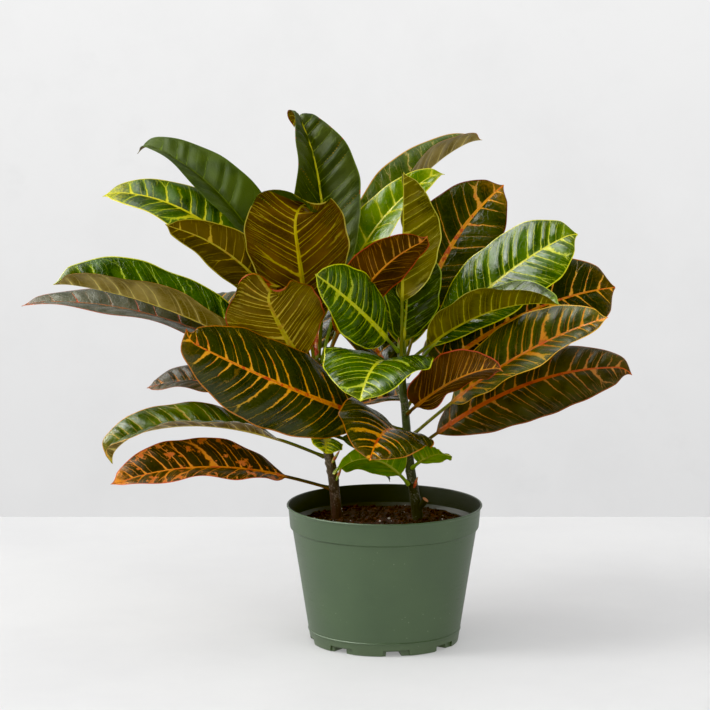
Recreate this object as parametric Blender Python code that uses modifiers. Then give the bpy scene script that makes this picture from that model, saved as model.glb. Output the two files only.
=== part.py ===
"""A croton with two stems in a nursery pot, one node for each leaf, stem, pot and soil.

Units are metres with +Z up. The origin is the centre of the pot's underside. The leaf and
stem tables are in millimetres and degrees, and MM turns them into metres.
"""

import math
from collections import namedtuple

import bmesh
import bpy
from mathutils import Matrix, Vector

MM = 0.001
GAP = 0.3 * MM  # clearance between pieces that touch on the real plant

PLASTIC = (0.093, 0.162, 0.084)
PEAT = (0.030, 0.011, 0.007)
BARK = (0.075, 0.040, 0.028)

# Pot: a blow-moulded six-inch nursery pot.
RIM_RADIUS = 76.0 * MM
POT_HEIGHT = 108.0 * MM
BASE_RADIUS = 57.5 * MM
WALL = 1.6 * MM
COLLAR_HEIGHT = 18.0 * MM
COLLAR_FOOT = POT_HEIGHT - COLLAR_HEIGHT
SHELF = COLLAR_FOOT + 1.0 * MM  # where the inside widens into the collar
SHELF_RISE = 3.0 * MM
FLOOR_BEVEL = 10.0 * MM  # the floor rises over this last stretch to meet the wall
COLLAR_STEP = 4.5 * MM
COLLAR_TAPER = 1.6 * MM
COLLAR_BEVEL = 1.2 * MM
LIP = 1.4 * MM
LIP_BEVEL = 0.8 * MM
FLOOR_RAISE = 1.6 * MM
FOOT_BEVEL = 1.0 * MM
FOOT_RING_HEIGHT = 10.0 * MM
FOOT_RING_PROUD = 0.5 * MM
FOOT_RING_HALF = 1.0 * MM
NOTCHES = 8
NOTCH_WIDTH = 14.0 * MM
NOTCH_HEIGHT = 5.5 * MM
NOTCH_DEPTH = 26.0 * MM
NOTCH_PHASE = 9.0  # degrees from the front to the first drain notch
POT_SIDES = 64
FLOOR_CORNER = 8.0 * MM  # height where the inside wall meets the sloping floor edge
WELD = 0.01 * MM  # merge distance at the axis of a turned shape and at the caps of a tube

# Soil: it fills the pot to a little under the collar.
SOIL_TOP = 90.0 * MM
SOIL_CROWN = 1.5 * MM

# Leaves.
PETIOLE = 2.6 * MM
BLADE = 0.8 * MM
TIP_HALF_WIDTH = 0.7 * MM
SPINE_STEPS = 80
HOOK_START = 0.68  # where along the blade a leaf's tip starts to curl
OPENS_BY = 0.15  # where along the blade its fold is fully open
MIDRIB_THINNING = 1.2  # how fast the midrib and the blade thin out from the petiole
BLADE_THINNING = 8.0
PETIOLE_ROWS = (0.0, 0.45, 0.85)
BLADE_ROWS = (0.0, 0.07, 0.17, 0.29, 0.42, 0.55, 0.68, 0.80, 0.91, 1.0)
ACROSS = (-1.0, -0.5, 0.0, 0.5, 1.0)

# Each stem is a list of (x, y, height, radius) from its foot in the soil to its top.
Stem = namedtuple("Stem", "name points")
STEMS = {
    "left": Stem(
        "stem_left",
        (
            (-36, 15, 62, 4.6),
            (-37, 15, 90, 4.5),
            (-38, 15, 108, 4.2),
            (-41, 14, 134, 4.0),
            (-46, 14, 156, 3.8),
            (-51, 14, 188, 3.4),
            (-53, 14, 224, 2.6),
        ),
    ),
    "right": Stem(
        "stem_right",
        (
            (28, 15, 62, 4.8),
            (26.5, 15, 90, 4.6),
            (25, 15, 104, 4.3),
            (20, 14, 132, 3.8),
            (17, 14, 168, 3.2),
            (14, 14, 200, 2.9),
            (12, 14, 230, 2.4),
        ),
    ),
}
# The stub is the pruned shoot low on the right stem.
STUB = ((25, 14, 99, 2.2), (29.5, 12, 105, 2.6), (32, 11, 109, 2.8))

# height is where the petiole leaves the stem. heading is the way the leaf points, 0 along +X
# and 90 along +Y. rise is its slope at the stem, and droop how much of it is lost by the tip.
# sweep turns the heading along the leaf. roll turns the blade about its midrib, and twist adds
# to that by the tip. fold lifts each half of the blade. hook curls the last part of the tip.
# widest is where along the blade it is widest. green is the leaf's colour.
YOUNG = (0.050, 0.130, 0.010)
MATURE = (0.014, 0.034, 0.008)
Leaf = namedtuple(
    "Leaf",
    "name stem height heading rise petiole blade width droop sweep roll twist fold hook widest green",
)
LEAVES = [
    Leaf("left_leaf_01", "left", 214, 148, 68, 38, 206, 56, 58, 0, 15, 0, 30, 0, 0.5, YOUNG),
    Leaf("left_leaf_02", "left", 207, 158, 66, 36, 204, 54, 74, 0, 30, 0, 12, 0, 0.5, YOUNG),
    Leaf("left_leaf_03", "left", 211, 195, 67, 30, 142, 44, 54, 0, -58, 0, 12, 0, 0.5, YOUNG),
    Leaf("left_leaf_04", "left", 200, 183, 33, 30, 188, 68, 27, 0, 10, 0, 50, 0, 0.6, MATURE),
    Leaf("left_leaf_05", "left", 194, 172, 31, 38, 206, 48, 39, 0, 15, 0, 17, 0, 0.5, MATURE),
    Leaf("left_leaf_06", "left", 217, 243, 74, 20, 126, 80, 0, 0, -24, 0, 6, -112, 0.7, YOUNG),
    Leaf("left_leaf_07", "left", 205, 225, 48, 20, 82, 76, -20, 0, -48, 0, -2, -120, 0.6, MATURE),
    Leaf("left_leaf_08", "left", 221, 63, 80, 38, 168, 67, 32, 70, 4, -16, 36, 0, 0.5, YOUNG),
    Leaf("left_leaf_09", "left", 203, 49, 65, 40, 232, 58, 60, 0, 10, 0, 54, 0, 0.5, YOUNG),
    Leaf("left_leaf_10", "left", 217, 30, 75, 35, 154, 38, 57, 0, -30, 0, 25, 0, 0.5, YOUNG),
    Leaf("left_leaf_11", "left", 209, 325, 67, 36, 120, 46, 46, 0, 42, 0, 20, 0, 0.5, MATURE),
    Leaf("left_leaf_12", "left", 180, 168, 20, 30, 108, 54, 38, 0, 15, 0, 15, 0, 0.5, MATURE),
    Leaf("left_leaf_13", "left", 143, 185, 24, 34, 148, 52, 54, 0, -4, 24, 30, 28, 0.5, MATURE),
    Leaf("left_leaf_14", "left", 118, 196, 19, 36, 141, 56, 38, 0, 26, 0, 24, 0, 0.5, MATURE),
    Leaf("left_leaf_15", "left", 160, 272, 5, 8, 30, 28, 40, 0, 20, 0, 10, 0, 0.5, YOUNG),
    Leaf("left_leaf_16", "left", 160, 15, -20, 10, 55, 38, 50, 0, -20, 0, 10, 0, 0.5, YOUNG),
    Leaf("left_leaf_17", "left", 176, 31, 9, 30, 96, 50, 15, 0, 0, 0, 10, 0, 0.5, MATURE),
    Leaf("left_leaf_18", "left", 200, 92, 44, 32, 150, 62, 50, 0, 0, 0, 15, 0, 0.5, MATURE),
    Leaf("left_leaf_19", "left", 190, 126, 34, 34, 160, 62, 45, 0, 0, 0, 15, 0, 0.5, MATURE),
    Leaf("left_leaf_20", "left", 170, 78, 22, 34, 140, 58, 40, 0, 0, 0, 10, 0, 0.5, MATURE),
    Leaf("right_leaf_01", "right", 227, 233, 39, 18, 110, 54, 10, 0, 86, 0, 8, 0, 0.45, YOUNG),
    Leaf("right_leaf_02", "right", 224, 70, 74, 10, 82, 56, -14, 0, -38, 0, 38, 0, 0.5, MATURE),
    Leaf("right_leaf_03", "right", 222, 275, 81, 46, 102, 60, -6, 0, 55, 0, 45, 0, 0.5, YOUNG),
    Leaf("right_leaf_04", "right", 212, 57, 65, 30, 142, 72, 32, -30, -55, 0, 8, 0, 0.5, MATURE),
    Leaf("right_leaf_05", "right", 206, 13, 50, 30, 146, 64, 28, 0, -45, 0, 3, 0, 0.6, YOUNG),
    Leaf("right_leaf_06", "right", 216, 332, 41, 24, 124, 58, 44, 0, 0, 0, 45, 0, 0.5, YOUNG),
    Leaf("right_leaf_07", "right", 192, 22, 36, 32, 162, 74, 34, 0, -60, 0, 5, 0, 0.6, MATURE),
    Leaf("right_leaf_08", "right", 160, 353, 42, 40, 140, 60, 24, 0, -40, 0, 25, 0, 0.5, MATURE),
    Leaf("right_leaf_09", "right", 148, 7, 36, 22, 166, 60, 42, 0, -50, 0, -5, 0, 0.5, MATURE),
    Leaf("right_leaf_10", "right", 178, 306, 34, 12, 120, 50, 25, 0, 38, 30, 50, 0, 0.36, MATURE),
    Leaf("right_leaf_11", "right", 208, 252, 32, 14, 98, 84, 84, 0, 4, 0, 10, 0, 0.5, YOUNG),
    Leaf("right_leaf_12", "right", 157, 250, 31, 14, 76, 78, 80, 0, 24, 0, 15, 0, 0.5, MATURE),
    Leaf("right_leaf_13", "right", 164, 207, 22, 30, 180, 74, -8, 0, 70, 0, -12, 0, 0.5, MATURE),
    Leaf("right_leaf_14", "right", 122, 226, 44, 12, 80, 50, 78, 0, -40, 0, 15, 0, 0.5, YOUNG),
    Leaf("right_leaf_15", "right", 135, 301, 32, 10, 40, 32, 25, 0, 30, 0, 15, 0, 0.5, YOUNG),
    Leaf("right_leaf_16", "right", 204, 84, 45, 30, 140, 60, 45, 0, 0, 0, 15, 0, 0.5, MATURE),
    Leaf("right_leaf_17", "right", 186, 112, 34, 32, 150, 60, 40, 0, 0, 0, 15, 0, 0.5, MATURE),
    Leaf("right_leaf_18", "right", 182, 54, 36, 32, 150, 60, 40, 0, 0, 0, 10, 0, 0.5, MATURE),
]


def clear_scene():
    for item in list(bpy.data.objects):
        bpy.data.objects.remove(item, do_unlink=True)


def new_collection(name):
    collection = bpy.data.collections.new(name)
    bpy.context.scene.collection.children.link(collection)
    return collection


def plain_material(name, colour, roughness):
    """A Principled material; nothing in the part is metal."""
    material = bpy.data.materials.new(name)
    material.use_nodes = True
    shader = material.node_tree.nodes["Principled BSDF"]
    shader.inputs["Base Color"].default_value = (*colour, 1.0)
    shader.inputs["Roughness"].default_value = roughness
    shader.inputs["Metallic"].default_value = 0.0
    return material


def mesh_object(name, mesh, collection, material=None):
    item = bpy.data.objects.new(name, mesh)
    collection.objects.link(item)
    if material:
        mesh.materials.append(material)
    return item


def turned(name, profile, collection, material=None, sides=POT_SIDES):
    """A solid of revolution from a closed (radius, height) outline."""
    mesh = bpy.data.meshes.new(name)
    shape = bmesh.new()
    points = [shape.verts.new((radius, 0.0, height)) for radius, height in profile]
    for start, end in zip(points, points[1:]):
        shape.edges.new((start, end))
    shape.to_mesh(mesh)
    shape.free()
    item = mesh_object(name, mesh, collection, material)
    screw = item.modifiers.new("turn", "SCREW")
    screw.steps = sides
    screw.render_steps = sides
    screw.use_merge_vertices = True
    screw.merge_threshold = WELD
    return item


def pot_radius(height):
    """Outside radius of the tapered body at a height."""
    top = RIM_RADIUS - COLLAR_STEP
    return BASE_RADIUS + (top - BASE_RADIUS) * height / COLLAR_FOOT


def inner_radius(height):
    """Inside radius of the body, between the floor's corner and the shelf under the collar."""
    low = pot_radius(FLOOR_CORNER) - WALL
    high = pot_radius(COLLAR_FOOT) - WALL
    return low + (high - low) * (height - FLOOR_CORNER) / (SHELF - FLOOR_CORNER)


def make_pot(parts, cutters):
    """The pot's wall, collar and floor as one turned shell, with drain notches round its foot."""
    floor = WALL + FLOOR_RAISE
    collar_radius = RIM_RADIUS - LIP
    ring_top = FOOT_RING_HEIGHT + FOOT_RING_HALF
    ring_foot = FOOT_RING_HEIGHT - FOOT_RING_HALF
    profile = [
        (0.0, floor),
        (BASE_RADIUS - FLOOR_BEVEL, floor),
        (inner_radius(FLOOR_CORNER), FLOOR_CORNER),
        (inner_radius(SHELF), SHELF),
        (collar_radius - WALL, SHELF + SHELF_RISE),
        (RIM_RADIUS - WALL, POT_HEIGHT),
        (RIM_RADIUS, POT_HEIGHT),
        (RIM_RADIUS, POT_HEIGHT - LIP),
        (collar_radius, POT_HEIGHT - LIP - LIP_BEVEL),
        (collar_radius - COLLAR_TAPER, COLLAR_FOOT),
        (pot_radius(COLLAR_FOOT), COLLAR_FOOT - COLLAR_BEVEL),
        (pot_radius(ring_top), ring_top),
        (pot_radius(FOOT_RING_HEIGHT) + FOOT_RING_PROUD, FOOT_RING_HEIGHT),
        (pot_radius(ring_foot), ring_foot),
        (pot_radius(FOOT_BEVEL), FOOT_BEVEL),
        (BASE_RADIUS - FOOT_BEVEL, 0.0),
        (0.0, 0.0),
    ]
    pot = turned("pot", profile, parts, plain_material("pot", PLASTIC, 0.5))
    for number in range(NOTCHES):
        angle = math.radians(NOTCH_PHASE - 90.0 + number * 360.0 / NOTCHES)
        mesh = bpy.data.meshes.new("notch")
        shape = bmesh.new()
        size = Matrix.Diagonal((NOTCH_DEPTH, NOTCH_WIDTH, 2.0 * NOTCH_HEIGHT, 1.0))
        bmesh.ops.create_cube(shape, size=1.0, matrix=size)
        shape.to_mesh(mesh)
        shape.free()
        cutter = mesh_object(f"notch_{number}", mesh, cutters)
        cutter.location = (BASE_RADIUS * math.cos(angle), BASE_RADIUS * math.sin(angle), 0.0)
        cutter.rotation_euler = (0.0, 0.0, angle)
        combine(pot, cutter, "DIFFERENCE")


def make_soil(parts):
    """Soil from the pot's floor up, slightly crowned, and clear of the wall by GAP all round."""
    floor = WALL + FLOOR_RAISE + GAP
    edge = SOIL_TOP - SOIL_CROWN
    profile = [
        (0.0, SOIL_TOP),
        (0.6 * inner_radius(edge), SOIL_TOP - 0.3 * SOIL_CROWN),
        (inner_radius(edge) - GAP, edge),
        (inner_radius(FLOOR_CORNER) - GAP, FLOOR_CORNER + GAP),
        (BASE_RADIUS - FLOOR_BEVEL, floor),
        (0.0, floor),
    ]
    return turned("soil", profile, parts, plain_material("soil", PEAT, 0.95))


def stem_at(stem, height):
    """The stem's centre, radius and sideways lean per unit of height, in millimetres."""
    index = 0
    while index < len(stem.points) - 2 and height > stem.points[index + 1][2]:
        index += 1
    low, high = Vector(stem.points[index]), Vector(stem.points[index + 1])
    point = low.lerp(high, (height - low.z) / (high.z - low.z))
    return point.xyz, point.w, (high - low).xyz / (high.z - low.z)


def tube(name, points, collection, material=None):
    """A closed tube through (x, y, z, radius) points in millimetres, as a mesh."""
    curve = bpy.data.curves.new(name, "CURVE")
    curve.dimensions = "3D"
    curve.bevel_depth = MM
    curve.bevel_resolution = 2
    curve.use_fill_caps = True
    spline = curve.splines.new("POLY")
    spline.points.add(len(points) - 1)
    for point, (x, y, z, radius) in zip(spline.points, points):
        point.co = (x * MM, y * MM, z * MM, 1.0)
        point.radius = radius
    guide = bpy.data.objects.new(name, curve)
    collection.objects.link(guide)
    mesh = bpy.data.meshes.new_from_object(guide.evaluated_get(bpy.context.evaluated_depsgraph_get()))
    bpy.data.objects.remove(guide, do_unlink=True)
    shape = bmesh.new()
    shape.from_mesh(mesh)
    bmesh.ops.remove_doubles(shape, verts=shape.verts, dist=WELD)
    bmesh.ops.recalc_face_normals(shape, faces=shape.faces)
    shape.to_mesh(mesh)
    shape.free()
    return mesh_object(name, mesh, collection, material)


def combine(item, cutter, operation):
    cutter.hide_render = True
    cutter.display_type = "WIRE"
    modifier = item.modifiers.new(cutter.name, "BOOLEAN")
    modifier.operation = operation
    modifier.object = cutter


def make_stems(parts, cutters, soil):
    """Both stems, each in a hole in the soil that is GAP wider and deeper than it is."""
    clearance = GAP / MM
    for stem in STEMS.values():
        tube(stem.name, stem.points, parts, plain_material(stem.name, BARK, 0.7))
        hole = [(x, y, z, radius + clearance) for x, y, z, radius in stem.points]
        x, y, z, radius = hole[0]
        hole[0] = (x, y, z - clearance, radius)
        combine(soil, tube(stem.name + "_hole", hole, cutters), "DIFFERENCE")
    stub = tube("pruned_stub", STUB, cutters)
    combine(bpy.data.objects[STEMS["right"].name], stub, "UNION")


def smooth(value):
    value = min(max(value, 0.0), 1.0)
    return value * value * (3.0 - 2.0 * value)


def spine(leaf):
    """Centre, direction, side and normal at fractions of the leaf's whole length."""
    centre, radius, lean = stem_at(STEMS[leaf.stem], leaf.height)
    total = leaf.petiole + leaf.blade
    heading, rise = math.radians(leaf.heading), math.radians(leaf.rise)
    outward = Vector((math.cos(heading), math.sin(heading), 0.0))
    overhang = abs(math.sin(rise)) + abs(math.cos(rise) * lean.dot(outward))
    reach = radius + GAP / MM + 0.5 * PETIOLE / MM * overhang
    place = (centre + outward * reach) * MM
    rows = []
    for step in range(SPINE_STEPS + 1):
        part = step / SPINE_STEPS
        blade = max(0.0, (part * total - leaf.petiole) / leaf.blade)
        hook = leaf.hook * smooth((blade - HOOK_START) / (1.0 - HOOK_START))
        slope = math.radians(leaf.rise - leaf.droop * part**1.5 - hook)
        turn = math.radians(leaf.heading + leaf.sweep * part)
        ahead = Vector((math.cos(turn), math.sin(turn), 0.0))
        along = ahead * math.cos(slope) + Vector((0.0, 0.0, math.sin(slope)))
        level = Vector((math.sin(turn), -math.cos(turn), 0.0))
        upper = level.cross(along)
        roll = math.radians(leaf.roll * smooth(part * total / leaf.petiole) + leaf.twist * blade)
        side = math.cos(roll) * level + math.sin(roll) * upper
        normal = side.cross(along)
        rows.append((place.copy(), along, side, normal))
        place += along * (total * MM / SPINE_STEPS)
    return rows


def half_width(leaf, blade):
    """Half the blade's width at a fraction of its length."""
    rising, falling = 1.4 * leaf.widest, 1.4 * (1.0 - leaf.widest)
    peak = leaf.widest**rising * (1.0 - leaf.widest) ** falling
    outline = blade**rising * (1.0 - blade) ** falling / peak
    return max(0.5 * leaf.width * MM * outline, TIP_HALF_WIDTH)


def make_leaf(leaf, parts):
    """A leaf's petiole and blade: one sheet along the spine, thickened most at the petiole."""
    rows = spine(leaf)
    total = leaf.petiole + leaf.blade
    stalk = 0.5 * PETIOLE
    thinnest = BLADE / PETIOLE
    stations = [(part * leaf.petiole / total, 0.0) for part in PETIOLE_ROWS]
    stations += [((leaf.petiole + part * leaf.blade) / total, part) for part in BLADE_ROWS]
    mesh = bpy.data.meshes.new(leaf.name)
    shape = bmesh.new()
    grid, weights = [], []
    for part, blade in stations:
        place, along, side, normal = rows[round(part * SPINE_STEPS)]
        width = max(half_width(leaf, blade), stalk * (1.0 - blade))
        opening = smooth(blade / OPENS_BY)
        lift = math.sin(math.radians(leaf.fold)) * opening
        reach = math.cos(math.radians(leaf.fold) * opening)
        row = []
        for across in ACROSS:
            offset = side * (across * width * reach) + normal * (abs(across) * width * lift)
            row.append(shape.verts.new(place + offset))
            thinning = MIDRIB_THINNING if across == 0.0 else BLADE_THINNING
            weights.append(max(thinnest, 1.0 - thinning * blade))
        grid.append(row)
    for near, far in zip(grid, grid[1:]):
        for index in range(len(ACROSS) - 1):
            shape.faces.new((near[index], near[index + 1], far[index + 1], far[index]))
    shape.to_mesh(mesh)
    shape.free()
    item = mesh_object(leaf.name, mesh, parts, plain_material(leaf.name, leaf.green, 0.35))
    group = item.vertex_groups.new(name="thickness")
    for index, weight in enumerate(weights):
        group.add([index], weight, "REPLACE")
    solidify = item.modifiers.new("thickness", "SOLIDIFY")
    solidify.thickness = PETIOLE
    solidify.offset = 0.0
    solidify.vertex_group = group.name


def build():
    clear_scene()
    parts = new_collection("potted_croton")
    cutters = new_collection("cutters")
    make_pot(parts, cutters)
    soil = make_soil(parts)
    make_stems(parts, cutters, soil)
    for leaf in LEAVES:
        make_leaf(leaf, parts)


build()
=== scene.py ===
"""The finish of a croton with two stems in a plain green nursery pot.

The stem and leaf tables are in millimetres and degrees. Everything else is in metres, +Z up.
"""

import math
from collections import namedtuple

import bmesh
import bpy
import numpy as np
from mathutils import Matrix, Vector, noise


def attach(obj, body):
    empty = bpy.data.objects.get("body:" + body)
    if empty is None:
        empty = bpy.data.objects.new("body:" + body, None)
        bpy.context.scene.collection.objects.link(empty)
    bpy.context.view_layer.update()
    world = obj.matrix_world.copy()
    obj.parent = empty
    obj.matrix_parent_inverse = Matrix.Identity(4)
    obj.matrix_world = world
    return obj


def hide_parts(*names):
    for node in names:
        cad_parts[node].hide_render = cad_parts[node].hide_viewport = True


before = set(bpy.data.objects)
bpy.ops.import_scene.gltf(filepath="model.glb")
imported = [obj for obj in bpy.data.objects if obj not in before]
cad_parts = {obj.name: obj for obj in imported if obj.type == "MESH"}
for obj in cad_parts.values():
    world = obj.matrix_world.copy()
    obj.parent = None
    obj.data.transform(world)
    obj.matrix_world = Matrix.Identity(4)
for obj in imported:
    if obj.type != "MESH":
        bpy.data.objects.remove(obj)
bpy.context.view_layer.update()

MM = 0.001
BODY = "root"

# Pot.
RIM_RADIUS = 76.0
POT_HEIGHT = 108.0
BASE_RADIUS = 57.5
WALL = 1.6
COLLAR_FOOT = POT_HEIGHT - 18.0
COLLAR_STEP = 4.5
LIP = 1.4
POT_SIDES = 192
NOTCHES = 8
NOTCH_PHASE = 9.0

# Soil.
SOIL_TOP = 90.0
SOIL_RADIUS = 69.0
SOIL_ROUGHNESS = 2.6
SOIL_RINGS = 60
SOIL_SIDES = 150
CRUST = 1.6
CRUST_SKIRT = 2.2
MOUND = 2.2
CRUMBS = 1500
PERLITE = 70

# Each stem is a list of (x, y, height, radius) from its foot in the soil to its top.
STEMS = {
    "left": (
        (-36, 15, 62, 4.6),
        (-37, 15, 90, 4.5),
        (-38, 15, 108, 4.2),
        (-41, 14, 134, 4.0),
        (-46, 14, 156, 3.8),
        (-51, 14, 188, 3.4),
        (-53, 14, 224, 2.6),
    ),
    "right": (
        (28, 15, 62, 4.8),
        (26.5, 15, 90, 4.6),
        (25, 15, 104, 4.3),
        (20, 14, 132, 3.8),
        (17, 14, 168, 3.2),
        (14, 14, 200, 2.9),
        (12, 14, 230, 2.4),
    ),
}
STEM_SIDES = 28
STEM_ROWS = 170
STEM_SMOOTHING = 7.0
STUB = ((25, 14, 99), (32, 11, 109))
STUB_RADIUS = 2.2
STUB_SIDES = 18
STUB_ROWS = 7

# Leaves.
GAP = 0.3
STALK = 1.3  # a petiole's radius
SOCKET = 5.0  # the length over which its foot swells
BLADE_THICKNESS = 0.55
BLADE_END = 0.9985  # the outline stops just short of its point
BROAD = 28.0  # half the width of a broad blade, which the next three are stated for
ARCH = 1.3
TURN_DOWN = 1.2
WAVE = 2.0
HOOK_START = 0.68
LOBE = 0.24  # how much later the tip bends at the margin than at the midrib
SPINE_STEPS = 600
BLADE_ROWS = 100
PETIOLE_ROWS = 12
COLUMNS = 35

# height is where the petiole leaves the stem. heading is the way the leaf points, 0 along +X
# and 90 along +Y. rise is its slope at the stem, and droop how much of it is lost by the tip.
# sweep turns the heading along the leaf. roll turns the blade about its midrib, and twist adds
# to that by the tip. fold lifts each half of the blade. hook bends the last third of the blade
# down, and curl only its tip, or up where they are negative. widest is where along the blade it
# is widest. top and under name the finish of each face, and pairs is how many pairs of veins it
# has.
Leaf = namedtuple(
    "Leaf",
    "height heading rise petiole blade width droop roll fold top under pairs "
    "sweep twist hook curl widest name",
    defaults=(0, 0, 0, 0, 0.5, ""),
)
SHOOTS = {
    "left": (
        Leaf(214, 148, 68, 38, 206, 56, 58, 15, 30, "plain", "olive", 13, curl=60),
        Leaf(207, 158, 66, 36, 204, 54, 74, 30, 12, "yellow", "olive", 12, curl=15),
        Leaf(211, 195, 67, 30, 142, 44, 54, -58, 12, "yellow", "olive", 8, curl=-10),
        Leaf(200, 183, 33, 30, 188, 68, 27, 10, 50, "fresh", "tan", 11, curl=10, widest=0.6),
        Leaf(194, 172, 31, 38, 206, 48, 39, 15, 17, "silvered", "brown", 12, curl=10),
        Leaf(217, 243, 74, 20, 126, 80, 0, -24, 6, "plain", "amber", 11, hook=-112, widest=0.7),
        Leaf(205, 225, 48, 20, 82, 76, -20, -48, -2, "orange", "russet", 11, hook=-120, widest=0.6),
        Leaf(221, 63, 80, 38, 168, 67, 32, 4, 36, "crown", "russet", 13, sweep=70, twist=-16, curl=150),
        Leaf(203, 49, 65, 40, 232, 58, 60, 10, 54, "pale", "tan", 13, curl=10),
        Leaf(217, 30, 75, 35, 154, 38, 57, -30, 25, "lime", "lime", 9, curl=30),
        Leaf(209, 325, 67, 36, 120, 46, 46, 42, 20, "orange", "rust", 9, curl=-30),
        Leaf(180, 168, 20, 30, 108, 54, 38, 15, 15, "ember", "brown", 10),
        Leaf(143, 185, 24, 34, 148, 52, 54, -4, 30, "pale", "brown", 12, twist=24, hook=28, curl=40),
        Leaf(118, 196, 19, 36, 141, 56, 38, 26, 24, "splashed", "red", 11, curl=-10),
        Leaf(160, 272, 5, 8, 30, 28, 40, 20, 10, "yellow", "lime", 6),
        Leaf(160, 15, -20, 10, 55, 38, 50, -20, 10, "plain", "brown", 8),
        Leaf(176, 31, 9, 30, 96, 50, 15, 0, 10, "orange", "red", 9),
        Leaf(200, 92, 44, 32, 150, 62, 50, 0, 15, "orange", "olive", 11),
        Leaf(190, 126, 34, 34, 160, 62, 45, 0, 15, "golden", "brown", 12),
        Leaf(170, 78, 22, 34, 140, 58, 40, 0, 10, "orange", "red", 11),
    ),
    "right": (
        Leaf(227, 233, 39, 18, 110, 54, 10, 86, 8, "fresh", "lime", 10, widest=0.45),
        Leaf(224, 70, 74, 10, 82, 56, -14, -38, 38, "dark", "olive", 8),
        Leaf(222, 275, 81, 46, 102, 60, -6, 55, 45, "bright", "moss", 8),
        Leaf(212, 57, 65, 30, 142, 72, 32, -55, 8, "sunset", "red", 11, sweep=-30),
        Leaf(206, 13, 50, 30, 146, 64, 28, -45, 3, "bright", "olive", 13, curl=20, widest=0.6),
        Leaf(216, 332, 41, 24, 124, 58, 44, 0, 45, "dark", "moss", 11),
        Leaf(192, 22, 36, 32, 162, 74, 34, -60, 5, "orange", "red", 12, widest=0.6),
        Leaf(160, 353, 42, 40, 140, 60, 24, -40, 25, "golden", "brown", 13),
        Leaf(148, 7, 36, 22, 166, 60, 42, -50, -5, "ember", "red", 12, curl=40),
        Leaf(
            178, 306, 34, 12, 120, 50, 25, 38, 50, "orange", "rust", 11,
            twist=30, curl=30, widest=0.36,
        ),
        Leaf(208, 252, 32, 14, 98, 84, 84, 4, 10, "fresh", "brown", 10, curl=10),
        Leaf(157, 250, 31, 14, 76, 78, 80, 24, 15, "orange", "lime", 9),
        Leaf(164, 207, 22, 30, 180, 74, -8, 70, -12, "orange", "red", 14, curl=-50),
        Leaf(122, 226, 44, 12, 80, 50, 78, -40, 15, "lime", "lime", 8),
        Leaf(135, 301, 32, 10, 40, 32, 25, 30, 15, "lime", "lime", 7),
        Leaf(204, 84, 45, 30, 140, 60, 45, 0, 15, "yellow", "olive", 12),
        Leaf(186, 112, 34, 32, 150, 60, 40, 0, 15, "orange", "red", 11),
        Leaf(182, 54, 36, 32, 150, 60, 40, 0, 10, "golden", "olive", 11),
    ),
}
LEAVES = [
    leaf._replace(name=f"{stem}_leaf_{number:02d}")
    for stem, leaves in SHOOTS.items()
    for number, leaf in enumerate(leaves, 1)
]


def colour(code):
    """A linear colour from its usual six-figure code."""
    values = [int(code[i : i + 2], 16) / 255.0 for i in (0, 2, 4)]
    return (*(v / 12.92 if v <= 0.04045 else ((v + 0.055) / 1.055) ** 2.4 for v in values), 1.0)


# A leaf face's finish. ground and light are the blade's own greens or browns, except in the grey
# top finish, where they are a painted reflection of the pale wall. halo lies beside the veins, and
# veins run from vein at the midrib to vein_end near the margin, with streak in places. width is a
# vein's half width in millimetres, rib the midrib's, reach how far across the blade the veins go,
# gaps how many are missing and fine how plain the thin veins between them are. patches is how much
# of the blade the vein colour floods, flush how much of the tip, quilt how far the blade puffs up
# between the veins in millimetres, glow how much light comes through and satin how dull its gloss is.
Finish = namedtuple(
    "Finish",
    "ground light halo vein vein_end streak midrib margin stalk "
    "width rib reach gaps fine patches flush quilt glow satin",
)


def coat(paints, *measures):
    """A finish from its nine colours in one string and then its ten measures."""
    return Finish(*paints.split(), *measures)


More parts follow.
